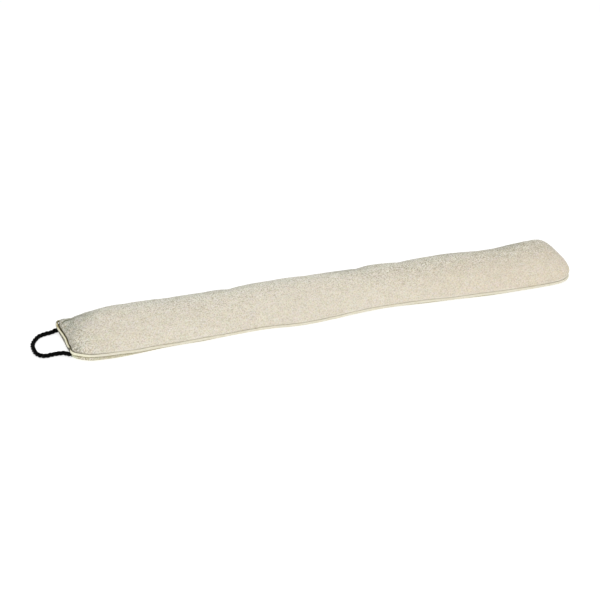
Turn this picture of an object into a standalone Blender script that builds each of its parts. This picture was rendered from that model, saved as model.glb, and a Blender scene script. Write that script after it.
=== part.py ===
"""A draught excluder: a long stuffed cover with corded edging and a twisted rope loop at one end.

Frame: metres, +Z up. The origin is on the floor under the middle of the cover and its piping. +X runs along
the length, towards the plain end. +Y is the back. The rope loop lies at the -X end.
"""
import math

import bmesh
import bpy
import numpy as np

MM = 0.001

# Driving sizes, in metres.
PIPING_DIAMETER = 4.0 * MM
ROPE_DIAMETER = 7.0 * MM
ROPE_LAY = 24.0 * MM          # along the rope, for one full turn of its three strands
GAP = 0.3 * MM                # between the cover and what is sewn to it
FLOOR_ROLL = 10.0 * MM        # how far the bottom panel draws in before it lies flat
FLOOR_BULGE = 0.4             # how far its edge swells out, as a share of the seam's height over SEAM_LOW
SEAM_LOW = 5.0 * MM

# The cover from the loop end to the plain end, in mm. front and back are the seam's two edges seen from
# above, seam is the seam's height over the floor, crown is the height along the middle, and fullness says
# how squarely the top panel stands up from the seam before it turns over.
SECTION_COLUMNS = ("x", "front", "back", "seam", "crown", "fullness")
SECTIONS = (
    (-400, -64.0, 60, 10.0, 47.5, 1.5),
    (-370, -65.0, 60, 10.0, 49.5, 1.8),
    (-340, -65.5, 60, 9.0, 45.5, 2.0),
    (-300, -62.5, 60, 6.8, 43.0, 2.2),
    (-250, -59.5, 60, 5.4, 42.5, 2.2),
    (-200, -56.5, 61, 4.6, 40.5, 2.2),
    (-150, -55.0, 62, 4.0, 42.5, 2.2),
    (-100, -56.5, 62, 4.2, 43.5, 2.2),
    (-50, -59.5, 61, 4.3, 44.8, 2.2),
    (0, -57.0, 61, 4.2, 43.0, 2.2),
    (50, -52.0, 63, 4.3, 39.5, 2.2),
    (100, -50.5, 66, 4.4, 41.0, 2.2),
    (150, -53.5, 64, 4.8, 39.0, 2.2),
    (200, -57.5, 62, 4.7, 42.6, 2.2),
    (250, -61.5, 60, 4.5, 44.5, 2.2),
    (300, -64.5, 59, 4.8, 40.5, 2.2),
    (350, -64.0, 59, 4.3, 42.0, 2.3),
    (409, -64.0, 59, 4.4, 46.5, 2.3),
)

# How the front edge wavers from the table above, in mm: rise lifts its seam, and out moves it to the front.
WAVER_COLUMNS = ("x", "rise", "out")
FRONT_WAVER = (
    (-444, 0.0, 0.0),
    (-425, 2.0, 0.3),
    (-410, 2.2, 1.0),
    (-390, 1.5, 2.2),
    (-365, 1.0, 1.8),
    (-340, -0.8, -0.6),
    (-308, -0.4, -1.7),
    (-270, -1.5, -2.4),
    (-245, -0.2, -0.4),
    (-222, 1.2, 1.6),
    (-198, -1.2, -1.2),
    (-150, -1.0, -2.1),
    (-115, -1.0, -2.8),
    (-80, -1.0, -0.4),
    (-40, -1.2, -0.5),
    (0, -1.2, -1.2),
    (55, 0.0, -0.3),
    (102, -1.3, -2.0),
    (140, 0.5, 0.6),
    (173, 1.2, 1.5),
    (215, -0.8, -0.6),
    (268, 1.6, 1.4),
    (310, 0.5, 1.0),
    (366, -0.6, 1.0),
    (400, -0.2, 0.8),
    (430, 0.0, -0.6),
    (452, 0.0, 0.0),
)

# The two closed ends, in mm: how far the seam reaches past the last section, how far it leans over for
# each mm across, and how square its corners are (2 is an ellipse, more is squarer), each at the front and
# the back. fullness goes from the last section's to this value at the end's tip.
LOOP_END = {
    "reach": 44,
    "front_lean": 0.0,
    "back_lean": -0.12,
    "front_corner": 2.4,
    "back_corner": 14.0,
    "fullness": 1.5,
}
PLAIN_END = {
    "reach": 42,
    "front_lean": 0.0,
    "back_lean": 0.0,
    "front_corner": 2.65,
    "back_corner": 3.3,
    "fullness": 1.95,
}

# Where the seam pokes out at the loop end, at its front corner and along its rear half, in mm.
SEAM_CORNER = {"x": -437, "y": -43, "radius": 10, "most": 3.0}
SEAM_REAR = {"x": -452, "y": 38, "radius": 20, "most": 2.6}

# Where the bottom panel bulges out past the seam at the loop end, at its front corner and its middle, in mm.
FLOOR_CORNER = {"x": -432, "y": -50, "radius": 12, "most": 1.5}
FLOOR_MIDDLE = {"x": -445, "y": 4, "radius": 24, "most": 2.3}

# Where the top panel stands back from the piping and leaves a gap at the loop end, in mm.
LIP_GAP = {"x": -445, "y": 2, "radius": 27, "most": 4.0}

# Where the top panel bulges out over the piping at the plain end, in mm. It is fullest at the given share of
# the way to the crown.
END_BULGE = {"x": 452, "y": -40, "radius": 20, "most": 3.2}
BULGE_SHARE = 0.06

# Soft folds in the top panel, in mm: each runs from the back shoulder to its foot nearer the front.
FOLD_COLUMNS = ("x", "y", "foot_x", "foot_y", "half_width", "depth")
FOLDS = (
    (-427, 56, -422, -20, 17, 7.5),
    (-395, 52, -345, 28, 14, 2.0),
    (-266, 40, -238, -14, 14, 1.0),
    (-158, 48, -112, -28, 15, 2.0),
    (-22, 42, 8, 3, 16, 0.7),
    (72, 40, 108, -8, 15, 1.7),
    (212, 38, 246, -24, 14, 1.3),
    (334, 38, 372, 10, 16, 1.8),
)

# The rope loop's centreline, in mm, from its rear root round to its front root at the loop end's seam.
ROPE_ROUTE = (
    (-453.5, 42.8, 5.0),
    (-457.0, 42.0, 4.8),
    (-464.0, 39.8, 4.2),
    (-473.0, 37.0, 3.7),
    (-484.0, 31.2, 3.7),
    (-492.3, 21.2, 3.7),
    (-496.6, 9.0, 3.7),
    (-497.2, -4.2, 3.7),
    (-494.6, -16.0, 3.7),
    (-488.6, -25.0, 3.7),
    (-480.0, -28.7, 3.7),
    (-470.5, -27.8, 3.7),
    (-461.0, -27.4, 3.8),
    (-451.5, -30.6, 4.4),
    (-448.0, -33.0, 4.6),
    (-445.0, -35.6, 4.8),
)

# How finely the shapes are divided.
SIDE_STEPS = 60               # along each long side
END_STEPS = 28                # round each end
GROOVE_TURN = (-80, -40, 0, 40, 80)          # degrees round the piping, from its lower to its upper lip
ROLL_HEIGHTS = (0.0, 0.12, 0.4, 0.75)        # up the bottom panel's edge, as shares of its height
TOP_SHARES = (0.02, 0.06, 0.13, 0.22, 0.34, 0.48, 0.64, 0.82, 1.0)   # across the top, seam to crown
ROLL_FULLNESS = 3.0           # how squarely the bottom panel's edge turns under
END_BLEND = 5                 # how late along an end its own fullness takes over (1 is evenly)
FOLD_FADE = 0.12              # share of the way to the crown where a fold has its full depth
FOLD_SHALLOWER = 0.5          # how much of its depth a fold has lost at its foot
SMOOTH_ABOVE = 0.3            # the top panel is smoothed from this share of the way to the crown
SMOOTH_PASSES = 6
SMOOTH_STRENGTH = 0.5         # how far each pass takes a point towards the middle of its neighbours
WELD = 0.01 * MM              # points closer than this are one point
PIPING_SIDES_RESOLUTION = 2
ROPE_STEP = 2.0 * MM
ROPE_LOBES = 3
ROPE_SIDES = 12
ROPE_VALLEY = 0.24            # how deep the grooves between strands are, as a share of the radius
FINE_STEPS = 12               # steps between two rows while a smooth curve is traced


def smooth_through(places, values, at):
    """Values of a smooth curve that passes through the given rows, level with them at each place."""
    places = np.asarray(places, float)
    values = np.asarray(values, float)
    slopes = np.gradient(values, places)
    at = np.clip(at, places[0], places[-1])
    row = np.clip(np.searchsorted(places, at, side="right") - 1, 0, len(places) - 2)
    span = places[row + 1] - places[row]
    t = (at - places[row]) / span
    rise = values[row + 1] - values[row]
    start, end = slopes[row] * span, slopes[row + 1] * span
    return values[row] + t * start + t * t * (3 * rise - 2 * start - end) + t**3 * (start + end - 2 * rise)


def section(column, x):
    """One column of the section table at any place along the cover, in mm."""
    rows = np.array(SECTIONS, float)
    return smooth_through(rows[:, 0], rows[:, SECTION_COLUMNS.index(column)], x)


def waver(column, x):
    """One column of the front edge's table at any place along the cover, in mm."""
    rows = np.array(FRONT_WAVER, float)
    return smooth_through(rows[:, 0], rows[:, WAVER_COLUMNS.index(column)], x)


def end_arc(end, corner_x, direction, angles):
    """The seam round one end, x and y in mm. Angles run from -90 degrees at the front to 90 at the back."""
    front, back = section("front", corner_x), section("back", corner_x)
    middle, half = (front + back) / 2, (back - front) / 2
    power = np.where(angles < 0, end["front_corner"], end["back_corner"])
    lean = np.where(angles < 0, end["front_lean"], end["back_lean"])
    across = np.sign(angles) * np.abs(np.sin(angles)) ** (2 / power)
    out = np.cos(angles) ** (2 / power)
    x = corner_x + (direction * end["reach"] + lean * half * across) * out
    return np.stack([x, middle + half * across], axis=1)


def even_steps(points, steps):
    """The same line in equal steps. Its last point is left out, because the next stretch starts there."""
    lengths = np.linalg.norm(np.diff(points, axis=0), axis=1)
    travelled = np.concatenate([[0], np.cumsum(lengths)])
    wanted = np.linspace(0, travelled[-1], steps + 1)[:-1]
    columns = [np.interp(wanted, travelled, points[:, k]) for k in range(points.shape[1])]
    return np.stack(columns, axis=1)


def seam_line():
    """The closed seam in mm: from the middle of the loop end, along the front, and back along the rear."""
    first, last = SECTIONS[0][0], SECTIONS[-1][0]
    side_x = np.linspace(first, last, SIDE_STEPS * FINE_STEPS)
    front = np.stack([side_x, section("front", side_x)], axis=1)
    back = np.stack([side_x, section("back", side_x)], axis=1)[::-1]
    quarter = np.radians(np.linspace(0, 90, END_STEPS * FINE_STEPS))
    half_end = END_STEPS // 2
    stretches = (
        (end_arc(LOOP_END, first, -1, -quarter), half_end),
        (front, SIDE_STEPS),
        (end_arc(PLAIN_END, last, 1, -quarter)[::-1], half_end),
        (end_arc(PLAIN_END, last, 1, quarter), half_end),
        (back, SIDE_STEPS),
        (end_arc(LOOP_END, first, -1, quarter)[::-1], half_end),
    )
    plan = np.concatenate([even_steps(points, steps) for points, steps in stretches])
    line = np.column_stack([plan, section("seam", plan[:, 0])])
    at_front = line[:, 1] < 0
    line[at_front, 1] -= waver("out", line[at_front, 0])
    line[at_front, 2] += waver("rise", line[at_front, 0])
    return line - (near(line, SEAM_CORNER) + near(line, SEAM_REAR)) * inward(line)


def inward(line):
    """The level direction from each point of the closed seam into the cover."""
    along = np.roll(line, -1, axis=0) - np.roll(line, 1, axis=0)
    level = np.column_stack([-along[:, 1], along[:, 0], np.zeros(len(line))])
    return level / np.linalg.norm(level, axis=1, keepdims=True)


def middle_line(line):
    """For each point of the seam, the point of the cover's middle line that its rib of the mesh runs to."""
    opposite = np.roll(line[::-1], 1, axis=0)
    x = np.clip((line[:, 0] + opposite[:, 0]) / 2, SECTIONS[0][0], SECTIONS[-1][0])
    y = (section("front", x) + section("back", x)) / 2
    return np.column_stack([x, y, section("crown", x)])


def fold_depth(points):
    """How far the folds press the top panel down at each point, in mm."""
    depth = np.zeros(len(points))
    for row in FOLDS:
        fold = dict(zip(FOLD_COLUMNS, row))
        run = np.array([fold["foot_x"] - fold["x"], fold["foot_y"] - fold["y"]], float)
        away = points[:, :2] - (fold["x"], fold["y"])
        share = np.clip(away @ run / (run @ run), 0, 1)
        distance = np.linalg.norm(away - share[:, None] * run, axis=1)
        across = np.exp(-((distance / fold["half_width"]) ** 2))
        depth += fold["depth"] * across * (1 - FOLD_SHALLOWER * share)
    return depth


def near(line, place):
    """How strongly a local change acts at each point of the seam, in mm, as a column beside the points."""
    distance = np.hypot(line[:, 0] - place["x"], line[:, 1] - place["y"])
    return (place["most"] * np.exp(-((distance / place["radius"]) ** 2)))[:, None]


def cover_rows(line):
    """The cover's mesh, row by row from the middle of its floor, round the groove, up to its crown, in mm."""
    into, up = inward(line), np.array([0, 0, 1.0])
    middle = middle_line(line)
    half_turn = math.radians(GROOVE_TURN[1] - GROOVE_TURN[0]) / 2
    groove_radius = (PIPING_DIAMETER / 2 + GAP) / math.cos(half_turn) / MM
    groove = []
    for degrees in GROOVE_TURN:
        turn = math.radians(degrees)
        edge = line + groove_radius * (math.cos(turn) * into + math.sin(turn) * up)
        groove.append(edge + max(0, math.sin(turn)) * near(line, LIP_GAP) * into)
    lower_lip, upper_lip = groove[0], groove[-1]

    edge_swell = near(line, FLOOR_CORNER) + near(line, FLOOR_MIDDLE)
    edge_swell += FLOOR_BULGE * (line[:, 2:] - SEAM_LOW / MM).clip(0)
    rows = [middle * (1, 1, 0)]
    for height in ROLL_HEIGHTS:
        drawn_in = 1 - (1 - (1 - height) ** ROLL_FULLNESS) ** (1 / ROLL_FULLNESS)
        swell = math.sin(math.pi * height) * edge_swell
        rows.append((lower_lip + into * (drawn_in * FLOOR_ROLL / MM - swell)) * (1, 1, height))
    rows += groove

    fullness = section("fullness", middle[:, 0])
    for end, row in ((LOOP_END, SECTIONS[0]), (PLAIN_END, SECTIONS[-1])):
        beyond = (line[:, 0] - row[0]) / (np.sign(row[0]) * end["reach"])
        fullness += (end["fullness"] - fullness) * beyond.clip(0, 1) ** END_BLEND
    for share in TOP_SHARES:
        row = upper_lip + share * (middle - upper_lip)
        row -= share / BULGE_SHARE * math.exp(1 - share / BULGE_SHARE) * near(line, END_BULGE) * into
        climb = (1 - (1 - share) ** fullness) ** (1 / fullness)
        row[:, 2] = upper_lip[:, 2] + climb * (middle[:, 2] - upper_lip[:, 2])
        row[:, 2] -= fold_depth(row) * min(1, share / FOLD_FADE)
        rows.append(row)
    return rows


def new_material(name, color, roughness):
    """A plain cloth colour for one piece."""
    material = bpy.data.materials.new(name)
    material.use_nodes = True
    shader = material.node_tree.nodes["Principled BSDF"]
    shader.inputs["Base Color"].default_value = (*color, 1)
    shader.inputs["Roughness"].default_value = roughness
    shader.inputs["Metallic"].default_value = 0
    material.diffuse_color = (*color, 1)
    return material


def add_object(name, data, collection, material=None):
    """Put a mesh or a curve in the scene as one named piece."""
    piece = bpy.data.objects.new(name, data)
    collection.objects.link(piece)
    if material:
        data.materials.append(material)
    return piece


def make_cover(line, collection, material):
    """The stuffed cover: one grid, wrapped round the seam and closed along the crown and the floor."""
    rows = cover_rows(line)
    columns = len(line)
    bm = bmesh.new()
    bmesh.ops.create_grid(bm, x_segments=columns, y_segments=len(rows) - 1, size=1)
    smooth_from = len(rows) - sum(share > SMOOTH_ABOVE for share in TOP_SHARES)
    upper = []
    for vertex in bm.verts:
        column = round((vertex.co.x + 1) / 2 * columns) % columns
        row = round((vertex.co.y + 1) / 2 * (len(rows) - 1))
        vertex.co = rows[row][column] * MM
        if row >= smooth_from:
            upper.append(vertex)
    bmesh.ops.remove_doubles(bm, verts=bm.verts, dist=WELD)
    upper = [vertex for vertex in upper if vertex.is_valid]
    every_way = {"use_axis_x": True, "use_axis_y": True, "use_axis_z": True}
    for _ in range(SMOOTH_PASSES):
        bmesh.ops.smooth_vert(bm, verts=upper, factor=SMOOTH_STRENGTH, **every_way)
    bmesh.ops.recalc_face_normals(bm, faces=bm.faces)
    bmesh.ops.triangulate(bm, faces=bm.faces, quad_method="BEAUTY", ngon_method="BEAUTY")
    mesh = bpy.data.meshes.new("filled_cover")
    bm.to_mesh(mesh)
    bm.free()
    mesh.shade_smooth()
    return add_object("filled_cover", mesh, collection, material)


def new_curve(name, points, closed=False, tilts=None):
    """A straight-run curve through points given in mm."""
    curve = bpy.data.curves.new(name, "CURVE")
    curve.dimensions = "3D"
    spline = curve.splines.new("POLY")
    spline.points.add(len(points) - 1)
    for index, point in enumerate(points):
        spline.points[index].co = (*(np.asarray(point) * MM), 1)
        if tilts is not None:
            spline.points[index].tilt = tilts[index]
    spline.use_cyclic_u = closed
    return curve


def make_piping(line, collection, material):
    """The corded edging, a closed tube in the seam's groove."""
    curve = new_curve("piping", line, closed=True)
    curve.bevel_depth = PIPING_DIAMETER / 2
    curve.bevel_resolution = PIPING_SIDES_RESOLUTION
    return add_object("piping", curve, collection, material)


def rope_line():
    """The rope's centreline in mm, in even steps along a smooth curve through its route."""
    route = np.array(ROPE_ROUTE, float)
    lengths = np.linalg.norm(np.diff(route, axis=0), axis=1)
    travelled = np.concatenate([[0], np.cumsum(lengths)])
    fine = np.linspace(0, travelled[-1], len(route) * FINE_STEPS)
    curve = np.stack([smooth_through(travelled, column, fine) for column in route.T], axis=1)
    steps = round(travelled[-1] * MM / ROPE_STEP)
    return np.vstack([even_steps(curve, steps), route[-1]])


def make_rope(collection, guides, material):
    """The rope loop: a section of three lobes that turns as it follows the rope's line."""
    turns = np.linspace(2 * math.pi, 0, ROPE_SIDES, endpoint=False)      # this way round it faces outwards
    radius = ROPE_DIAMETER / 2 / MM * (1 - ROPE_VALLEY * (1 - np.cos(ROPE_LOBES * turns)) / 2)
    ring = np.column_stack([radius * np.cos(turns), radius * np.sin(turns), np.zeros(ROPE_SIDES)])
    lobes = add_object("rope_section", new_curve("rope_section", ring, closed=True), guides)
    lobes.data.dimensions = "2D"
    lobes.data.fill_mode = "NONE"
    lobes.hide_render = True
    lobes.display_type = "WIRE"

    line = rope_line()
    tilts = np.arange(len(line)) * ROPE_STEP / ROPE_LAY * 2 * math.pi
    curve = new_curve("rope_loop", line, tilts=tilts)
    curve.bevel_mode = "OBJECT"
    curve.bevel_object = lobes
    curve.use_fill_caps = True
    return add_object("rope_loop", curve, collection, material)


def main():
    for old in list(bpy.data.objects):
        bpy.data.objects.remove(old, do_unlink=True)
    parts = bpy.data.collections.new("draught_excluder")
    guides = bpy.data.collections.new("guides")
    bpy.context.scene.collection.children.link(parts)
    bpy.context.scene.collection.children.link(guides)

    line = seam_line()
    make_cover(line, parts, new_material("cover_cloth", (0.72, 0.66, 0.56), 0.95))
    make_piping(line, parts, new_material("piping_cloth", (0.85, 0.80, 0.63), 0.80))
    make_rope(parts, guides, new_material("rope_fibre", (0.012, 0.012, 0.012), 0.70))


main()
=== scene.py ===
import math

import bmesh
import bpy
import numpy as np
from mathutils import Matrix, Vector, noise
from mathutils.kdtree import KDTree


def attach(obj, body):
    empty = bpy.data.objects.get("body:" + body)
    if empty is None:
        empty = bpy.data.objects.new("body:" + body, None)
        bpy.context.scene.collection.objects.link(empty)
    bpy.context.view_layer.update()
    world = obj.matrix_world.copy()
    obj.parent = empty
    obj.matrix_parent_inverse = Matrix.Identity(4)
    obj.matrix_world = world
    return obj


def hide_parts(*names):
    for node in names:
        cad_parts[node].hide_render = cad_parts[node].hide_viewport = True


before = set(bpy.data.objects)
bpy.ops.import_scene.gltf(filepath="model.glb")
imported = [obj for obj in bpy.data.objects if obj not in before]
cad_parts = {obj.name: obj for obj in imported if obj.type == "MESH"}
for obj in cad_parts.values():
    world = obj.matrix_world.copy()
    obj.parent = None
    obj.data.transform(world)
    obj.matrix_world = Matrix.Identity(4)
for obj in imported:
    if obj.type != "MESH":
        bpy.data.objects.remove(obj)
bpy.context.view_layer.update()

mm = 0.001
scene = bpy.context.scene


# the camera, at the photograph's angle
cameraPlace = {
    "turnedLeft": 17.3,       # degrees round from the front
    "elevation": 31.0,
    "distance": 2.09,
    "lens": 72.24,            # on a 36 mm sensor
    "lookAt": (-0.0370, 0.0221, 0.0),
}


def makeCamera():
    turn = math.radians(cameraPlace["turnedLeft"])
    rise = math.radians(cameraPlace["elevation"])
    away = Vector((-math.sin(turn) * math.cos(rise), -math.cos(turn) * math.cos(rise), math.sin(rise)))
    camera = bpy.data.objects.new("photoCamera", bpy.data.cameras.new("photoCamera"))
    camera.data.lens = cameraPlace["lens"]
    camera.location = Vector(cameraPlace["lookAt"]) + away * cameraPlace["distance"]
    camera.rotation_euler = (-away).to_track_quat("-Z", "Y").to_euler()
    scene.collection.objects.link(camera)
    scene.camera = camera
    print("camera placed")


def newPiece(name, bm, material):
    mesh = bpy.data.meshes.new(name)
    bm.to_mesh(mesh)
    bm.free()
    mesh.materials.append(material)
    mesh.shade_smooth()
    piece = bpy.data.objects.new(name, mesh)
    scene.collection.objects.link(piece)
    return piece


def points(mesh):
    flat = np.zeros(len(mesh.vertices) * 3, np.float32)
    mesh.vertices.foreach_get("co", flat)
    return flat.reshape(-1, 3).astype(float)


def movePoints(mesh, places):
    mesh.vertices.foreach_set("co", places.astype(np.float32).ravel())
    mesh.update()


def normals(mesh):
    flat = np.zeros(len(mesh.vertices) * 3, np.float32)
    mesh.vertex_normals.foreach_get("vector", flat)
    return flat.reshape(-1, 3).astype(float)


def saveValues(mesh, shares):
    # each named share goes to the material as an attribute of the points
    for name, values in shares.items():
        layer = mesh.attributes.new(name, "FLOAT", "POINT")
        layer.data.foreach_set("value", values.astype(np.float32))


def treeOf(places):
    tree = KDTree(len(places))
    for index, place in enumerate(places):
        tree.insert(place, index)
    tree.balance()
    return tree


def lumps(places, size, seed):
    # smooth noise from about -1 to 1, with swellings about size metres apart
    offset = Vector((seed * 7.3, seed * 3.1, seed * 5.7))
    return np.array([noise.noise(Vector(place) / size + offset) for place in places])


def ramp(values, low, high):
    # 0 at low and 1 at high, with soft ends
    t = np.clip((values - low) / (high - low), 0, 1)
    return t * t * (3 - 2 * t)


def fade(values, zone):
    # 0 at the zone's first number and 1 at its second, both in mm
    return ramp(values, zone[0] * mm, zone[1] * mm)


def bell(away, reach):
    # 1 in the middle, and next to nothing at twice the reach
    return np.exp(-(away / reach) ** 2)


def throughPoints(rough, step, closed):
    # a smooth line through the rough one, in steps of the given length
    if closed:
        padded = np.vstack([rough[-1], rough, rough[0], rough[1]])
    else:
        padded = np.vstack([2 * rough[0] - rough[1], rough, 2 * rough[-1] - rough[-2]])
    t = np.linspace(0, 1, 12, endpoint=False)[:, None]
    fine = []
    for a, b, c, d in zip(padded, padded[1:], padded[2:], padded[3:]):
        fine.append(b + 0.5 * t * (c - a + t * (2 * a - 5 * b + 4 * c - d + t * (3 * (b - c) + d - a))))
    fine = np.vstack(fine + [padded[-2]])
    travelled = np.concatenate([[0], np.cumsum(np.linalg.norm(np.diff(fine, axis=0), axis=1))])
    places = np.linspace(0, travelled[-1], round(travelled[-1] / step) + 1)
    if closed:
        places = places[:-1]
    return np.column_stack([np.interp(places, travelled, column) for column in fine.T])


def directions(line, closed):
    if closed:
        along = np.roll(line, -1, axis=0) - np.roll(line, 1, axis=0)
    else:
        along = np.gradient(line, axis=0)
    return along / np.linalg.norm(along, axis=1, keepdims=True)


def ringsAlong(line, radius, sides, first, second):
    # circles round each point of the line, in the plane of the first and second direction
    turns = np.linspace(0, 2 * math.pi, sides, endpoint=False)[None, :, None]
    return line[:, None, :] + radius[:, :, None] * (
        np.cos(turns) * first[:, None, :] + np.sin(turns) * second[:, None, :])


def lapGrid(name, rings, material, closed):
    # a grid wrapped into a tube through rings of points, with its UV map in metres along and around
    count, sides = rings.shape[:2]
    steps = count if closed else count - 1
    bm = bmesh.new()
    uvLayer = bm.loops.layers.uv.new("UVMap")
    bmesh.ops.create_grid(bm, x_segments=sides, y_segments=steps, size=1, calc_uvs=True)
    length = np.linalg.norm(np.diff(rings.mean(axis=1), axis=0), axis=1).sum()
    around = np.linalg.norm(rings[0] - np.roll(rings[0], 1, axis=0), axis=1).sum()
    for vertex in bm.verts:
        side = round((vertex.co.x + 1) / 2 * sides) % sides
        ring = round((vertex.co.y + 1) / 2 * steps) % count
        vertex.co = rings[ring][side]
    for face in bm.faces:
        for loop in face.loops:
            loop[uvLayer].uv = (loop[uvLayer].uv.y * length, loop[uvLayer].uv.x * around)
    bmesh.ops.remove_doubles(bm, verts=bm.verts, dist=0.001 * mm)
    if not closed:
        bmesh.ops.holes_fill(bm, edges=[edge for edge in bm.edges if edge.is_boundary], sides=0)
    bmesh.ops.recalc_face_normals(bm, faces=bm.faces)
    return newPiece(name, bm, material)


class Shader:
    def __init__(self, name, color, roughness, sheen=0.0):
        self.material = bpy.data.materials.new(name)
        self.material.use_nodes = True
        self.nodes = self.material.node_tree.nodes
        self.links = self.material.node_tree.links
        self.surface = self.nodes["Principled BSDF"]
        self.surface.inputs["Base Color"].default_value = (*color, 1)
        self.surface.inputs["Roughness"].default_value = roughness
        self.surface.inputs["Sheen Weight"].default_value = sheen
        self.material.diffuse_color = (*color, 1)

    def add(self, kind, **values):
        node = self.nodes.new("ShaderNode" + kind)
        for key, value in values.items():
            setattr(node, key, value)
        return node

    def join(self, source, target):
        self.links.new(source, target)

    def put(self, value, socket):
        # a number or a colour is set on the socket, and an output is joined to it
        if isinstance(value, (int, float)):
            socket.default_value = value
        elif isinstance(value, tuple):
            socket.default_value = (*value, 1)
        else:
            self.join(value, socket)

    def coordinates(self, output):
        return self.add("TexCoord").outputs[output]

    def mapped(self, output, scale):
        mapping = self.add("Mapping")
        mapping.inputs["Scale"].default_value = scale
        self.join(self.coordinates(output), mapping.inputs["Vector"])
        return mapping.outputs["Vector"]

    def speckle(self, vector, size, detail=2.0, rough=0.5):
        node = self.add("TexNoise")
        node.inputs["Scale"].default_value = 1 / size
        node.inputs["Detail"].default_value = detail
        node.inputs["Roughness"].default_value = rough
        self.join(vector, node.inputs["Vector"])
        return node.outputs["Fac"]

    def range(self, value, low, high, toLow=0.0, toHigh=1.0):
        node = self.add("MapRange")
        for name, number in (("From Min", low), ("From Max", high), ("To Min", toLow), ("To Max", toHigh)):
            node.inputs[name].default_value = number
        self.join(value, node.inputs["Value"])
        return node.outputs["Result"]

    def mix(self, share, first, second, blend="MIX"):
        # a colour Mix node has its share at input 0, its colours at inputs 6 and 7, its result at output 2
        node = self.add("Mix", data_type="RGBA", blend_type=blend)
        self.put(share, node.inputs[0])
        self.put(first, node.inputs[6])
        self.put(second, node.inputs[7])
        return node.outputs[2]

    def tinted(self, color, vector, size, amounts):
        # each channel wanders by its own amount, so the cloth is here pinker and there greener
        noisy = self.add("TexNoise")
        noisy.inputs["Scale"].default_value = 1 / size
        noisy.inputs["Detail"].default_value = 1
        self.join(vector, noisy.inputs["Vector"])
        tint = self.add("VectorMath", operation="MULTIPLY_ADD")
        self.join(noisy.outputs["Color"], tint.inputs[0])
        tint.inputs[1].default_value = amounts
        tint.inputs[2].default_value = [1 - amount / 2 for amount in amounts]
        return self.mix(1.0, color, tint.outputs[0], "MULTIPLY")

    def times(self, first, second):
        node = self.add("Math", operation="MULTIPLY")
        self.put(first, node.inputs[0])
        self.put(second, node.inputs[1])
        return node.outputs[0]

    def value(self, name):
        return self.add("Attribute", attribute_name=name).outputs["Fac"]

    def bump(self, height, strength, distance, after=None):
        node = self.add("Bump")
        node.inputs["Strength"].default_value = strength
        node.inputs["Distance"].default_value = distance
        self.join(height, node.inputs["Height"])
        if after is not None:
            self.join(after, node.inputs["Normal"])
        return node.outputs["Normal"]

    def finish(self, color, normal):
        self.join(color, self.surface.inputs["Base Color"])
        self.join(normal, self.surface.inputs["Normal"])
        return self.material


# the rope loop: three twisted strands of black yarn
rope = {
    "diameter": 7.0 * mm,
    "length": 0.150,
    "lay": 21.0 * mm,            # along the rope, for one full turn of its strands
    "strands": 3,
    "strandRadius": 2.1 * mm,
    "strandOut": 1.65 * mm,      # of each strand's middle from the rope's
    "rootSwell": 0.18,           # how much thicker it is where it leaves the seam at the rear
    "rootEnds": (16, 5),         # in mm along the rope: no thicker from here, quite thick up to here
    "yarns": 5,                  # ridges round each strand
    "yarnDepth": 0.10,           # share of the strand's radius
    "yarnMiddle": 0.6,           # of a ridge's height, where the strand keeps its radius
    "yarnTurns": 210.0,          # of the yarns round their strand, in each metre
    "step": 0.75 * mm,
    "sides": 20,
    # rear root, round the floor, front root, in mm
    "route": (
        (-447.0, 42.4, 6.0), (-456.9, 40.6, 4.8), (-464.0, 38.2, 4.2), (-473.2, 37.2, 3.8),
        (-484.2, 32.7, 3.8), (-492.4, 21.8, 3.8), (-497.0, 9.5, 3.8), (-496.9, -4.1, 3.8),
        (-494.7, -16.2, 3.8), (-488.7, -25.2, 3.8), (-480.0, -28.9, 3.8), (-470.5, -28.1, 3.8),
        (-461.1, -28.1, 3.9), (-451.4, -30.3, 4.5), (-447.7, -33.2, 4.3), (-439.5, -39.5, 5.0),
    ),
    "black": (0.0002, 0.0002, 0.0002),
    "fibreGlint": (0.030, 0.031, 0.029),
    "fibreScale": (120, 2600, 1),    # along the strand, around it
    "fibreSize": 0.9 * mm,
}


def ropeMaterial():
    shader = Shader("blackRopeFibre", (0.001, 0.001, 0.001), 0.35)
    shader.surface.inputs["Specular IOR Level"].default_value = 0.03
    fibres = shader.speckle(shader.mapped("UV", rope["fibreScale"]), 1.0, detail=3)
    fine = shader.speckle(shader.coordinates("Object"), rope["fibreSize"], detail=3)
    color = shader.mix(shader.range(fibres, 0.54, 0.74), rope["black"], rope["fibreGlint"])
    normal = shader.bump(fibres, 0.6, 0.15 * mm)
    return shader.finish(color, shader.bump(fine, 0.3, 0.1 * mm, after=normal))


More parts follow.
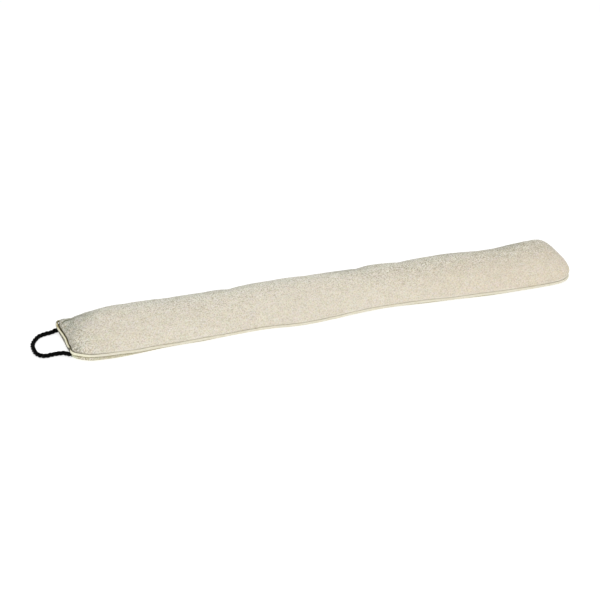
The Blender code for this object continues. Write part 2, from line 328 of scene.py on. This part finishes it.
def makeRope():
    line = throughPoints(np.array(rope["route"]) * mm, rope["step"], closed=False)
    along = directions(line, closed=False)
    side = np.cross(along, np.array([0, 0, 1.0]))
    side /= np.linalg.norm(side, axis=1, keepdims=True)
    top = np.cross(side, along)
    travelled = np.arange(len(line)) * rope["step"]
    turns = np.linspace(0, 2 * math.pi, rope["sides"], endpoint=False)
    twist = 2 * math.pi * rope["yarnTurns"] * travelled[:, None]
    ridge = np.abs(np.cos((rope["yarns"] * turns[None, :] - twist) / 2)) - rope["yarnMiddle"]
    swell = 1 + rope["rootSwell"] * fade(travelled, rope["rootEnds"])
    radius = rope["strandRadius"] * (1 + rope["yarnDepth"] * ridge) * swell[:, None]
    material = ropeMaterial()
    strands = []
    for strand in range(rope["strands"]):
        wind = 2 * math.pi * (travelled / rope["lay"] + strand / rope["strands"])
        out = np.cos(wind)[:, None] * side + np.sin(wind)[:, None] * top
        middle = line + rope["strandOut"] * out
        strandAlong = directions(middle, closed=False)
        out -= (out * strandAlong).sum(axis=1, keepdims=True) * strandAlong
        out /= np.linalg.norm(out, axis=1, keepdims=True)
        rings = ringsAlong(middle, radius, rope["sides"], out, np.cross(strandAlong, out))
        rings[:, :, 2] = np.maximum(rings[:, :, 2], 0)       # pressed flat where it lies on the floor
        strands.append(lapGrid("strand", rings, material, closed=False))
    with bpy.context.temp_override(
            active_object=strands[0], object=strands[0],
            selected_objects=strands, selected_editable_objects=strands):
        bpy.ops.object.join()
    loop = strands[0]
    loop.name = "ropeLoop"
    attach(loop, "root")
    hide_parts("rope_loop")
    print("rope loop made")


# the seam, which the piping and the cover follow
seamShape = {
    # a ring of the piping's solid is 4 mm across, and the next ring is further away than this
    "ringReach": 4.2 * mm,
    # the loop end's rear corner is a little squarer than in its solid
    "corner": (-447 * mm, 60 * mm),
    "cornerReach": 5.5 * mm,
    "cornerPush": 1.7 * mm,      # towards the rope
    "cornerLift": 0.5 * mm,
}


def seamLine(step):
    # from the middles of the rings of the piping's solid
    solid = points(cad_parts["piping"].data)
    solid = np.unique(np.round(solid, 6), axis=0)
    tree = treeOf(solid)
    waiting = set(range(len(solid)))
    middles = []
    while waiting:
        near = tree.find_range(solid[min(waiting)], seamShape["ringReach"])
        ring = [index for _, index, _ in near if index in waiting]
        waiting -= set(ring)
        middles.append(solid[ring].mean(axis=0))
    ordered = [middles.pop(int(np.argmin([place[0] for place in middles])))]
    while middles:
        nearest = int(np.argmin([np.linalg.norm(place - ordered[-1]) for place in middles]))
        ordered.append(middles.pop(nearest))
    line = np.array(ordered)
    turning = np.cross(line[:, :2], np.roll(line[:, :2], -1, axis=0)).sum()
    if turning < 0:              # so that it runs anticlockwise, seen from above
        line = line[::-1]
    return throughPoints(line, step, closed=True)


def squaredCorner(places):
    x, y = seamShape["corner"]
    share = bell(np.hypot(places[:, 0] - x, places[:, 1] - y), seamShape["cornerReach"])
    places[:, 0] -= seamShape["cornerPush"] * share
    places[:, 2] += seamShape["cornerLift"] * share
    return places


class Seam:
    def __init__(self, step):
        self.line = squaredCorner(seamLine(step))
        self.step = step
        self.along = directions(self.line, closed=True)
        self.into = np.cross(np.array([0, 0, 1.0]), self.along)
        self.into /= np.linalg.norm(self.into, axis=1, keepdims=True)
        self.tree = treeOf(self.line)

    def near(self, places):
        # for each place: the seam's nearest point, how far in and up from it the place is, and how far away
        index = np.array([self.tree.find(place)[1] for place in places])
        away = places - self.line[index]
        inward = (away * self.into[index]).sum(axis=1)
        return index, inward, away[:, 2], np.linalg.norm(away, axis=1)


# the piping: cloth wrapped round a cord
piping = {
    "radius": 2.0 * mm,
    "step": 1.5 * mm,
    "sides": 24,
    "unevenness": 0.05,          # share of the radius
    "unevenSize": 14 * mm,
    "stitchPitch": 3.2 * mm,
    "stitchDepth": 0.03,         # share of the radius
    # along the loop end, each with half its length: painted shadow in dark spots, painted shade on the part
    # under the overhanging panel, a pinch
    "notches": ((-32 * mm, 3.3 * mm), (56 * mm, 3.2 * mm)),
    "shaded": (42 * mm, 7 * mm),
    "pinched": (-35.5 * mm, 3.2 * mm),
    "pinch": 0.25,               # share of the radius
    # the way to the gap beside it, inward and upward; what follows it is measured from -1, outside, to 1
    "towardGap": (0.9, 0.44),
    "shadedSide": (-0.4, 0.2),
    "tanSide": (0.45, 0.9),
    "darkSide": (-0.42, -0.8),
    "notchSide": (-0.2, 0.6),
    # where a state is none and where it is full, in mm: along x or y, or up from the seam
    "highlightX": (-395, -430),
    "highlightRearY": 62,
    "loopEndX": (-434, -440),
    "beneathZ": (-0.5, -1.8),
    "beneathY": (-20, -40),
    "darkY": (-41, -36),
    "plain": (0.75, 0.70, 0.545),
    "plainPaler": (0.82, 0.785, 0.655),
    # the colours of the painted highlight and the painted shades, laid one over the next in this order
    "colors": {
        "paintedHighlight": (1.0, 0.965, 0.74),
        "gapSideShade": (0.42, 0.345, 0.115),
        "outerSideShade": (0.14, 0.14, 0.105),
        "notchShadow": (0.022, 0.027, 0.007),
    },
    "twillScale": (900, 900, 1),
    "fibreSize": 1.1 * mm,
}


def pipingMaterial():
    shader = Shader("creamPiping", (0.77, 0.72, 0.58), 0.72, sheen=0.15)
    place = shader.coordinates("Object")
    tone = shader.range(shader.speckle(place, 9 * mm, detail=3), 0.3, 0.7)
    color = shader.mix(tone, piping["plain"], piping["plainPaler"])
    for name, own in piping["colors"].items():
        color = shader.mix(shader.value(name), color, own)
    twill = shader.add("TexWave", wave_type="BANDS", bands_direction="DIAGONAL")
    twill.inputs["Scale"].default_value = 1
    twill.inputs["Distortion"].default_value = 0.6
    shader.join(shader.mapped("UV", piping["twillScale"]), twill.inputs["Vector"])
    normal = shader.bump(twill.outputs["Fac"], 0.35, 0.12 * mm)
    fine = shader.speckle(place, piping["fibreSize"], detail=3)
    return shader.finish(color, shader.bump(fine, 0.35, 0.15 * mm, after=normal))


def paintPiping(edge, seam):
    # at the loop end: a painted highlight along the top, painted shade beside the gap and on its outer side,
    # and painted shadow in dark spots
    places = points(edge.data)
    x, y = places[:, 0], places[:, 1]
    _, inward, height, distance = seam.near(places)
    inShare, upShare = piping["towardGap"]
    across = (inShare * inward + upShare * height) / distance
    onEnd = fade(x, piping["loopEndX"])
    # painted shadow in the dark spots where the piping kinks
    notchShadow = np.zeros(len(places))
    for at, width in piping["notches"]:
        notchShadow = np.maximum(notchShadow, onEnd * np.minimum(1, 1.8 * bell(y - at, width)))
    shadedAt, shadedWidth = piping["shaded"]
    shaded = onEnd * bell(y - shadedAt, shadedWidth) * ramp(across, *piping["shadedSide"])
    beneath = fade(height, piping["beneathZ"]) * fade(y, piping["beneathY"])
    # painted shade beside the gap, on the part under the overhanging panel, and beneath the piping along the
    # front
    tan = np.maximum(onEnd * ramp(across, *piping["tanSide"]), np.maximum(0.9 * shaded, 0.2 * beneath))
    saveValues(edge.data, {
        # painted highlight along the top of the piping at the loop end
        "paintedHighlight": fade(x, piping["highlightX"]) * (y < piping["highlightRearY"] * mm),
        "gapSideShade": tan,
        # painted shade on the outer side, which faces away from the light
        "outerSideShade": onEnd * ramp(across, *piping["darkSide"]) * fade(y, piping["darkY"]),
        "notchShadow": notchShadow * (0.95 - 0.35 * ramp(across, *piping["notchSide"])),
    })


def makePiping(seam):
    line = seam.line
    travelled = np.arange(len(line)) * seam.step
    uneven = piping["unevenness"] * lumps(line, piping["unevenSize"], seed=3)
    stitched = (1 - np.cos(2 * math.pi * travelled / piping["stitchPitch"])) / 2
    pinchedAt, pinchedWidth = piping["pinched"]
    pinched = piping["pinch"] * (line[:, 0] < 0) * bell(line[:, 1] - pinchedAt, pinchedWidth)
    radius = piping["radius"] * (1 + uneven - piping["stitchDepth"] * stitched) * (1 - pinched)
    up = np.cross(seam.along, seam.into)
    rings = ringsAlong(line, radius[:, None], piping["sides"], seam.into, up)
    cordedEdge = lapGrid("cordedPiping", rings, pipingMaterial(), closed=True)
    paintPiping(cordedEdge, seam)
    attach(cordedEdge, "root")
    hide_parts("piping")
    print("piping made")


# the stuffed cover
cover = {
    "pressure": 4.0,
    "frames": 20,
    "stiffness": 15,
    "bending": 0.5,
    "slack": 0.004,              # how much longer the cloth is than the shape it starts from
    "mostMoved": 1.6 * mm,
    "swollen": 0.9 * mm,         # how far the top starts outside its solid
    "plainEndHeld": 0.9,         # how much less the plain end swells
    "lumpSize": 55 * mm,
    "lumpHeight": 0.7 * mm,
    "napSize": 4.5 * mm,
    "napHeight": 0.12 * mm,
    "puckerPitch": 11 * mm,
    "puckerReach": 16 * mm,
    "puckerDepth": 0.35 * mm,
    "endPuckers": 1.2 * mm,      # extra at the loop end
    "rumpleSize": 13 * mm,
    "rumpleHeight": 0.8 * mm,    # only at the loop end
    # the darkness set below for the seam's groove and the loop end's gap is painted shade
    "groove": 0.18,              # how dark the seam's groove is on the long sides
    "grooveNearEnd": 0.10,       # how much darker close to the loop end, before it gapes
    "grooveBroken": 0.9,         # share by which it comes and goes
    "brokenSize": 9 * mm,
    "gape": 1.9 * mm,            # how far the top panel stands back from the piping at the loop end
    "gapeDark": 0.8,             # how much of that is dark
    "gapeBuilt": (4.0 * mm, 2 * mm, 27 * mm),    # what the solid has: its most, where, and its reach
    "lipDrop": 0.5 * mm,         # how much lower the top panel meets the piping along the front
    "lipEnds": (410, 370),       # in mm either way: it isn't lower from here out, and quite so up to here
    "cornerSink": 1.7 * mm,      # how much lower the loop end's rear corner is than its solid
    # how much further the plain end's front corner bulges than its solid: where, its reach, how far
    "tip": ((441 * mm, -49 * mm, 16 * mm), 9.5 * mm, 3.2 * mm),
    # painted shade in the groove round the loop end's front corner: where, its reach, how dark
    "corner": (-436 * mm, -47 * mm, 15 * mm, 0.4),
    # creases at the loop end: their points in mm, half width, depth, and how dark their painted shade is
    "creases": (
        (((-443.5, 35, 21), (-440, 35, 23.4), (-437, 35, 25.6), (-429, 31, 29.5)), 1.8 * mm, 1.0 * mm, 1.0),
        (((-429, 31, 29.5), (-420, 26, 33.2), (-411.5, 22.5, 36.6)), 1.7 * mm, 0.6 * mm, 0.50),
        (((-438, -38, 19), (-433, -40, 23), (-430, -39, 26)), 1.2 * mm, 0.9 * mm, 0.55),
        (((-434, -46.5, 18), (-428.5, -48.5, 21), (-422, -50, 24)), 1.2 * mm, 1.0 * mm, 0.55),
        (((-451.5, 52, 15.5), (-450.3, 47, 14.8), (-450.3, 43, 13.2)), 2.3 * mm, 0.6 * mm, 1.0),
    ),
    "creaseStep": 0.5 * mm,
    # painted shade in shallow hollows: where, how dark; and how far each reaches
    "hollows": ((352 * mm, 35 * mm, 0.18), (-426 * mm, 12 * mm, 0.15)),
    "hollowReach": 18 * mm,
    # a green tinge low down on the loop end's front corner: where, its reach, how strong
    "greenSpot": ((-439 * mm, -47 * mm, 4 * mm), 7 * mm, 0.8),
    # how much the nap shows: everywhere, more to the loop end, more to the back, more still at the back
    # to the plain end, and less where the cloth faces away from the photograph
    "nap": (0.35, 0.08, 0.50, 0.34, 0.4),
    "mottled": (0.25, 0.75),     # everywhere, and more to the back and the plain end
    "greyShadeBack": 0.6,
    "beigeFront": 0.5,           # how much less grey the front of the loop end is
    "rimShadeEverywhere": 0.05,
    # how much each of these shows along the cover, by x in mm
    "tables": {
        # painted shade where the cloth turns over at the back, and more of it in each fold
        "rimShade": (
            (-450, 0.1), (-442, 0.4), (-428, 0.35), (-402, 0.35), (-380, 0.1), (-345, 0.0), (-167, 0.2),
            (-96, 0.0), (0, 0.0), (48, 0.42), (110, 0.0), (200, 0.05), (250, 0.22), (300, 0.05), (325, 0.2),
            (357, 0.45), (395, 0.0),
        ),
        # painted light, paler on the back half of the top panel
        "paintedLight": (
            (-430, 0.0), (-395, 0.35), (-350, 0.95), (-200, 0.9), (-100, 1.2), (-30, 1.1), (50, 1.0),
            (110, 0.75), (330, 0.75), (390, 0.1), (450, 0.0),
        ),
        # painted light in the groove along the front, lifting its shade
        "paintedGrooveLight": (
            (-410, 0.1), (-350, 0.6), (-310, 0.3), (-286, 0.0), (-242, 0.5), (-200, 0.3), (-150, 0.15),
            (-108, 0.15), (-50, 0.45), (-18, 0.25), (30, 0.55), (126, 0.25), (200, 0.6), (267, 0.3),
            (316, 0.55), (366, 0.05), (418, 0.65),
        ),
    },
    # for each state of the cloth, where it is none and where it is full, in mm:
    # the names end in X or Y for along the floor, Z for up from the seam, and Away for away from the seam
    "zones": {
        "topZ": (1.5, 4),
        "freeAway": (3, 14),
        "plainEndX": (395, 440),
        "gapeX": (-428, -440),
        "gapeFrontY": (-44, -34),
        "gapeRearY": (60, 54),
        "lipZ": (0, 1.5),
        "lipAway": (15, 5),
        "frontY": (-20, -40),
        "sinkX": (-400, -430),
        "sinkY": (8, 35),
        "seamZ": (-1.5, 0.5),
        "loopEndX": (-375, -435),
        "puckerAway": (2, 6),
        "creaseZ": (0, 2),
        "grooveNearX": (-375, -410),
        "grooveDarkX": (-415, -440),
        "grooveAway": (4.0, 2.4),
        "cornerAway": (7, 3),
        "brokenX": (-400, -360),
        "plainTipX": (440, 449),
        "frontZ": (-1.0, 0.5),
        "lightAway": (6.6, 3.6),
        "greenZ": (-1, -3),
        "napX": (0, 220),
        "napLoopX": (-50, -250),
        "napY": (-50, 25),
        "mottledX": (-50, 200),
        "mottledY": (-45, 25),
        "endShadeX": (-430, -441),
        "endShadeY": (-46, -34),
        "floorZ": (-2.2, -5.0),
        "beigeY": (5, -25),
        "greyY": (20, 50),
        "undersideZ": (-0.5, -2.5),
        "warmX": (-100, 400),
        "paleY": (-48, -5),
        "paleCornerX": (-395, -425),
        "paleCornerY": (-18, -40),
    },
    # the same for how far the cloth faces the back, from 0 to 1
    "facingBack": {
        "turned": (-0.15, 0.25),
        "rimShade": (0.05, 0.32),
        "hidden": (0.52, 0.74),      # past this it faces away from the photograph
    },
    "colors": {
        "cloth": (0.753, 0.684, 0.560),
        "clothPaler": (0.792, 0.731, 0.605),
        "clump": (0.54, 0.505, 0.385),
        "mottle": (0.55, 0.515, 0.395),
        "grainDark": (0.30, 0.250, 0.150),
        "grainLight": (0.97, 0.935, 0.860),
        # painted shade, greenish-grey
        "greyShade": (0.500, 0.520, 0.430),
        # the lower panel, darker and yellower than the top: partly painted shade as it faces the floor, with
        # painted shadow just under the piping and painted shade at the loop end
        "panel": (0.42, 0.385, 0.25),
        "panelLow": (0.64, 0.60, 0.43),
        "panelEndShade": (0.17, 0.165, 0.12),
    },
    # smooth noise in the cloth's colour: its size, where it starts to show and is full, and its most
    "patterns": {
        "patches": (55 * mm, 0.3, 0.7, 0.8),
        "greyShade": (13 * mm, 0.33, 0.60, 1.0),
        "clumps": (9 * mm, 0.38, 0.62, 0.35),
        "mottle": (15 * mm, 0.38, 0.62, 0.45),
    },
    # the nap's grain, the fibres that only roughen it, and how far red, green and blue wander at each size
    "grain": {
        "size": 2.1 * mm,
        "fibreSize": 1.0 * mm,
        "wanders": ((3.4 * mm, (0.11, 0.13, 0.26)), (14 * mm, (0.035, 0.05, 0.09))),
    },
    # these multiply the colour beneath: a warm tone along the length, painted light on the back half of the
    # top panel, and a cooler painted light where the cloth turns to the back
    "tints": {
        "warm": (0.995, 0.965, 0.935),
        "paintedLight": (1.10, 1.105, 1.115),
        "paintedBackLight": (1.03, 1.10, 1.13),
    },
    # these are laid over the nap, one over the next, each with its colour and whether it multiplies: painted
    # shade at the rim and in creases, a green tinge, and painted light and painted shade in the seam's groove
    "overlays": {
        "rimShade": ((0.42, 0.45, 0.43), "MULTIPLY"),
        "creaseShade": ((0.15, 0.15, 0.10), "MIX"),
        "greenish": ((0.74, 0.79, 0.56), "MIX"),
        "paintedGrooveLight": ((0.96, 0.93, 0.85), "MIX"),
        "paintedSeamShade": ((0.060, 0.050, 0.018), "MIX"),
    },
}
zones = cover["zones"]


def coverMaterial():
    shader = Shader("beigeNap", (0.70, 0.65, 0.53), 0.95, sheen=0.10)
    place = shader.coordinates("Object")
    colors = cover["colors"]

    def pattern(name):
        size, low, high, most = cover["patterns"][name]
        return shader.range(shader.speckle(place, size, detail=2), low, high, 0.0, most)

    def blended(name, share, color, over):
        return shader.mix(shader.times(shader.value(name), share), color, over)

    color = shader.mix(pattern("patches"), colors["cloth"], colors["clothPaler"])
    for name, tint in cover["tints"].items():
        color = shader.mix(shader.value(name), color, tint, "MULTIPLY")
    color = blended("greyShade", pattern("greyShade"), color, colors["greyShade"])
    # the lower panel: painted shadow under the piping, lighter towards the floor, and painted shade at the
    # loop end
    panel = shader.mix(shader.value("towardFloor"), colors["panel"], colors["panelLow"])
    panel = shader.mix(shader.value("endShade"), panel, colors["panelEndShade"])
    color = shader.mix(shader.value("underside"), color, panel)
    color = blended("nap", pattern("clumps"), color, colors["clump"])
    color = blended("mottled", pattern("mottle"), color, colors["mottle"])
    grain = shader.speckle(place, cover["grain"]["size"], detail=2, rough=0.55)
    color = blended("nap", shader.range(grain, 0.50, 0.30), color, colors["grainDark"])
    color = blended("nap", shader.range(grain, 0.50, 0.70), color, colors["grainLight"])
    for size, amounts in cover["grain"]["wanders"]:
        color = shader.tinted(color, place, size, amounts)
    for name, (own, blend) in cover["overlays"].items():
        color = shader.mix(shader.value(name), color, own, blend)
    fibres = shader.speckle(place, cover["grain"]["fibreSize"], detail=4, rough=0.65)
    normal = shader.bump(grain, 0.5, 0.5 * mm)
    return shader.finish(color, shader.bump(fibres, 0.5, 0.35 * mm, after=normal))


def mergedCopy(name, node, material):
    bm = bmesh.new()
    bm.from_mesh(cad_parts[node].data)
    bmesh.ops.remove_doubles(bm, verts=bm.verts, dist=0.01 * mm)
    bmesh.ops.join_triangles(bm, faces=bm.faces, angle_face_threshold=math.pi, angle_shape_threshold=math.pi)
    quads = sum(len(face.verts) == 4 for face in bm.faces)
    print(name, "starts from", len(bm.faces), "faces,", quads, "of them quads")
    return newPiece(name, bm, material)


def bakeModifier(piece):
    evaluated = piece.evaluated_get(bpy.context.evaluated_depsgraph_get())
    mesh = bpy.data.meshes.new_from_object(evaluated)
    piece.modifiers.clear()
    old = piece.data
    piece.data = mesh
    bpy.data.meshes.remove(old)


def refine(piece):
    modifier = piece.modifiers.new("finer", "SUBSURF")
    modifier.levels = 1
    modifier.render_levels = 1
    bakeModifier(piece)


def inflate(piece, free):
    # free says how much of the pressure's movement each point keeps
    start = points(piece.data)
    pins = piece.vertex_groups.new(name="sewn")
    for index, share in enumerate(free):
        pins.add([index], 1 - float(share), "REPLACE")
    cloth = piece.modifiers.new("pressure", "CLOTH")
    cloth.settings.vertex_group_mass = "sewn"
    cloth.settings.use_pressure = True
    cloth.settings.uniform_pressure_force = cover["pressure"]
    cloth.settings.effector_weights.gravity = 0
    cloth.settings.shrink_min = -cover["slack"]
    cloth.settings.tension_stiffness = cover["stiffness"]
    cloth.settings.compression_stiffness = cover["stiffness"]
    cloth.settings.bending_stiffness = cover["bending"]
    cloth.collision_settings.use_collision = False
    cloth.point_cache.frame_end = cover["frames"]
    for number in range(1, cover["frames"] + 1):
        scene.frame_set(number)
    evaluated = piece.evaluated_get(bpy.context.evaluated_depsgraph_get())
    moved = points(evaluated.data) - start
    piece.modifiers.clear()
    piece.vertex_groups.clear()
    scene.frame_set(1)
    reach = np.linalg.norm(moved, axis=1, keepdims=True)
    loose = reach[free > 0.5] / mm
    print("pressure moved the loose cloth", round(float(np.median(loose)), 2), "mm, at most",
          round(float(loose.max()), 2), "before the cap")
    moved *= np.minimum(1, cover["mostMoved"] / np.maximum(reach, 1e-9))
    movePoints(piece.data, start + moved * free[:, None])


def alongCover(name, x):
    rows = np.array(cover["tables"][name])
    return np.interp(x / mm, rows[:, 0], rows[:, 1])


def shapeCover(piece, seam):
    # bring the merged solid nearer to the photograph; gives back how free each point is to swell
    places = squaredCorner(points(piece.data))
    x, y = places[:, 0], places[:, 1]
    index, _, height, distance = seam.near(places)
    top = fade(height, zones["topZ"])
    free = top * fade(distance, zones["freeAway"]) * (1 - cover["plainEndHeld"] * fade(x, zones["plainEndX"]))
    places += normals(piece.data) * (cover["swollen"] * free)[:, None]
    # the lip of the top panel: how far it stands back at the loop end, and how low it meets the piping
    most, middle, reach = cover["gapeBuilt"]
    built = most * bell(y - middle, reach)
    wanted = cover["gape"] * fade(y, zones["gapeFrontY"]) * fade(y, zones["gapeRearY"])
    lip = fade(height, zones["lipZ"]) * fade(distance, zones["lipAway"])
    places += seam.into[index] * (fade(x, zones["gapeX"]) * lip * (wanted - built))[:, None]
    dropped = fade(y, zones["frontY"]) * fade(np.abs(x), cover["lipEnds"])
    places[:, 2] -= cover["lipDrop"] * dropped * lip
    places[:, 2] -= cover["cornerSink"] * fade(x, zones["sinkX"]) * fade(y, zones["sinkY"]) * top
    tipPlace, tipReach, tipPush = cover["tip"]
    fromTip = np.linalg.norm(places - np.array(tipPlace), axis=1)
    places[:, 0] += tipPush * bell(fromTip, tipReach) * fade(height, zones["seamZ"])
    movePoints(piece.data, places)
    return free


class Cloth:
    # the swollen cover's points, how they face, and how they lie to the seam
    def __init__(self, piece, seam):
        self.places = points(piece.data)
        self.x, self.y = self.places[:, 0], self.places[:, 1]
        self.facing = normals(piece.data)
        self.index, _, self.height, self.distance = seam.near(self.places)
        self.top = fade(self.height, zones["topZ"])
        self.free = self.top * fade(self.distance, zones["freeAway"])
        self.atEnd = fade(self.x, zones["loopEndX"])


def creaseShares(places):
    # for each crease, how strongly it acts at each place
    for rough, halfWidth, depth, dark in cover["creases"]:
        tree = treeOf(throughPoints(np.array(rough) * mm, cover["creaseStep"], closed=False))
        away = np.array([tree.find(place)[2] for place in places])
        yield np.minimum(1, 1.4 * bell(away, halfWidth)), depth, dark


def wrinkleCover(piece, seam, cloth):
    # lumps, nap, puckers, rumples and creases; gives back the painted shade in the creases
    waves = lumps(seam.line, cover["puckerPitch"], seed=11)[cloth.index]
    pucker = waves * cloth.top * np.exp(-cloth.distance / cover["puckerReach"])
    pucker *= fade(cloth.distance, zones["puckerAway"])
    raised = cover["lumpHeight"] * lumps(cloth.places, cover["lumpSize"], seed=1) * cloth.free
    napped = np.maximum(cloth.free, 0.4 * cloth.top)
    raised += cover["napHeight"] * lumps(cloth.places, cover["napSize"], seed=2) * napped
    raised += pucker * (cover["puckerDepth"] + cover["endPuckers"] * cloth.atEnd)
    rumples = lumps(cloth.places, cover["rumpleSize"], seed=6) * cloth.atEnd * cloth.free
    raised += cover["rumpleHeight"] * rumples
    creaseShade = np.zeros(len(cloth.places))
    for share, depth, dark in creaseShares(cloth.places):
        # painted shade in each crease
        creaseShade = np.maximum(creaseShade, dark * share * fade(cloth.height, zones["creaseZ"]))
        raised -= depth * share * cloth.top
    movePoints(piece.data, cloth.places + cloth.facing * raised[:, None])
    return creaseShade


def grooveShade(seam, cloth):
    # painted shade in the seam's groove, which is faint and broken on the long sides, and gapes at the loop
    # end
    x, y, height, distance = cloth.x, cloth.y, cloth.height, cloth.distance
    gape = cover["gape"] * cover["gapeDark"] * fade(x, zones["gapeX"]) * fade(y, zones["gapeFrontY"])
    strength = cover["groove"] + cover["grooveNearEnd"] * fade(x, zones["grooveNearX"])
    strength = strength + (1 - strength) * fade(x, zones["grooveDarkX"])
    groove = strength * fade(distance - gape, zones["grooveAway"]) * fade(height, zones["seamZ"])
    cornerX, cornerY, cornerReach, cornerDark = cover["corner"]
    corner = cornerDark * bell(np.hypot(x - cornerX, y - cornerY), cornerReach)
    groove = np.maximum(groove, corner * fade(distance, zones["cornerAway"]) * fade(height, zones["lipZ"]))
    gaps = lumps(seam.line, cover["brokenSize"], seed=21)[cloth.index] * fade(x, zones["brokenX"])
    return groove * (1 + cover["grooveBroken"] * gaps) * (1 - 0.8 * fade(x, zones["plainTipX"]))


def paintCover(piece, seam, cloth, creaseShade):
    x, y, height, distance = cloth.x, cloth.y, cloth.height, cloth.distance
    atEnd, top, facing = cloth.atEnd, cloth.top, cloth.facing[:, 1]
    hidden = ramp(facing, *cover["facingBack"]["hidden"])
    front = fade(y, zones["frontY"]) * fade(height, zones["frontZ"])
    greenPlace, greenReach, greenShare = cover["greenSpot"]
    green = greenShare * bell(np.linalg.norm(cloth.places - np.array(greenPlace), axis=1), greenReach)
    # the nap shows more towards the back, where it is seen along its tips, and at the ends
    napLeast, napLoop, napBack, napFar, napHidden = cover["nap"]
    slope = napBack + napFar * fade(x, zones["napX"])
    nap = napLeast + napLoop * fade(x, zones["napLoopX"]) + slope * fade(y, zones["napY"])
    mottledLeast, mottledMore = cover["mottled"]
    # painted shade: greenish-grey patches, broken up by noise, at the loop end and along the back, where the
    # cloth turns from the light
    greyShade = atEnd * (1 - cover["beigeFront"] * fade(y, zones["beigeY"]))
    greyShade = np.maximum(greyShade, cover["greyShadeBack"] * fade(y, zones["greyY"]) * (1 - hidden))
    # painted light on the front of the loop end's corner
    paleCorner = fade(x, zones["paleCornerX"]) * fade(y, zones["paleCornerY"])
    # painted shade along the rim, where the cloth turns away from the light
    rimShade = (alongCover("rimShade", x) + cover["rimShadeEverywhere"]) * ramp(facing, *cover["facingBack"]["rimShade"])
    for hollowX, hollowY, dark in cover["hollows"]:
        rimShade = np.maximum(rimShade, dark * bell(np.hypot(x - hollowX, y - hollowY), cover["hollowReach"]))
    saveValues(piece.data, {
        # painted shade in the seam's groove and gap
        "paintedSeamShade": grooveShade(seam, cloth),
        # painted light in the groove along the front
        "paintedGrooveLight": alongCover("paintedGrooveLight", x) * front * fade(distance, zones["lightAway"]),
        "creaseShade": creaseShade,
        "greenish": green * fade(height, zones["greenZ"]),
        "nap": np.maximum(nap, atEnd) - napHidden * hidden,
        "mottled": mottledLeast + mottledMore * fade(y, zones["mottledY"]) * fade(x, zones["mottledX"]),
        "endShade": fade(x, zones["endShadeX"]) * fade(y, zones["endShadeY"]),
        "towardFloor": fade(height, zones["floorZ"]),
        "greyShade": greyShade,
        "underside": fade(height, zones["undersideZ"]),
        "warm": fade(x, zones["warmX"]),
        "paintedLight": np.maximum(alongCover("paintedLight", x) * fade(y, zones["paleY"]), paleCorner),
        # painted light: a cooler, paler tint where the cloth turns to the back
        "paintedBackLight": ramp(facing, *cover["facingBack"]["turned"]) * top * (1 - 0.8 * hidden),
        "rimShade": rimShade * top * (1 - 0.9 * hidden),
    })


def makeCover(seam):
    piece = mergedCopy("filledCover", "filled_cover", coverMaterial())
    refine(piece)
    free = shapeCover(piece, seam)
    inflate(piece, free)
    refine(piece)
    cloth = Cloth(piece, seam)
    creaseShade = wrinkleCover(piece, seam, cloth)
    paintCover(piece, seam, cloth, creaseShade)
    piece.data.shade_smooth()
    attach(piece, "root")
    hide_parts("filled_cover")
    print("cover made,", len(piece.data.polygons), "faces")


studio = {
    "floorSize": 8.0,
    "floorColor": (0.45, 0.45, 0.45),
    "floorGlow": 0.72,
    "sky": 0.50,
    # name, where it stands, its size, its power
    "lights": (
        ("keyLight", (0.2, -2.0, 1.5), 1.2, 10),
        ("overheadLight", (0.0, -0.5, 2.5), 2.0, 24),
    ),
}


def makeStudio():
    bm = bmesh.new()
    bmesh.ops.create_grid(bm, x_segments=1, y_segments=1, size=studio["floorSize"] / 2)
    shader = Shader("paleFloor", studio["floorColor"], 0.9)
    shader.surface.inputs["Emission Color"].default_value = (1, 1, 1, 1)
    shader.surface.inputs["Emission Strength"].default_value = studio["floorGlow"]
    floor = newPiece("floor", bm, shader.material)
    world = bpy.data.worlds.new("softRoom")
    world.use_nodes = True
    world.node_tree.nodes["Background"].inputs["Color"].default_value = (1, 1, 1, 1)
    world.node_tree.nodes["Background"].inputs["Strength"].default_value = studio["sky"]
    scene.world = world
    for name, place, size, power in studio["lights"]:
        light = bpy.data.lights.new(name, "AREA")
        light.shape = "SQUARE"
        light.size = size
        light.energy = power
        lamp = bpy.data.objects.new(name, light)
        lamp.location = place
        lamp.rotation_euler = (-Vector(place)).to_track_quat("-Z", "Y").to_euler()
        scene.collection.objects.link(lamp)
    scene.view_settings.view_transform = "Standard"
    print("studio made")


makeCamera()
makeRope()
seam = Seam(piping["step"])
makePiping(seam)
makeCover(seam)
makeStudio()
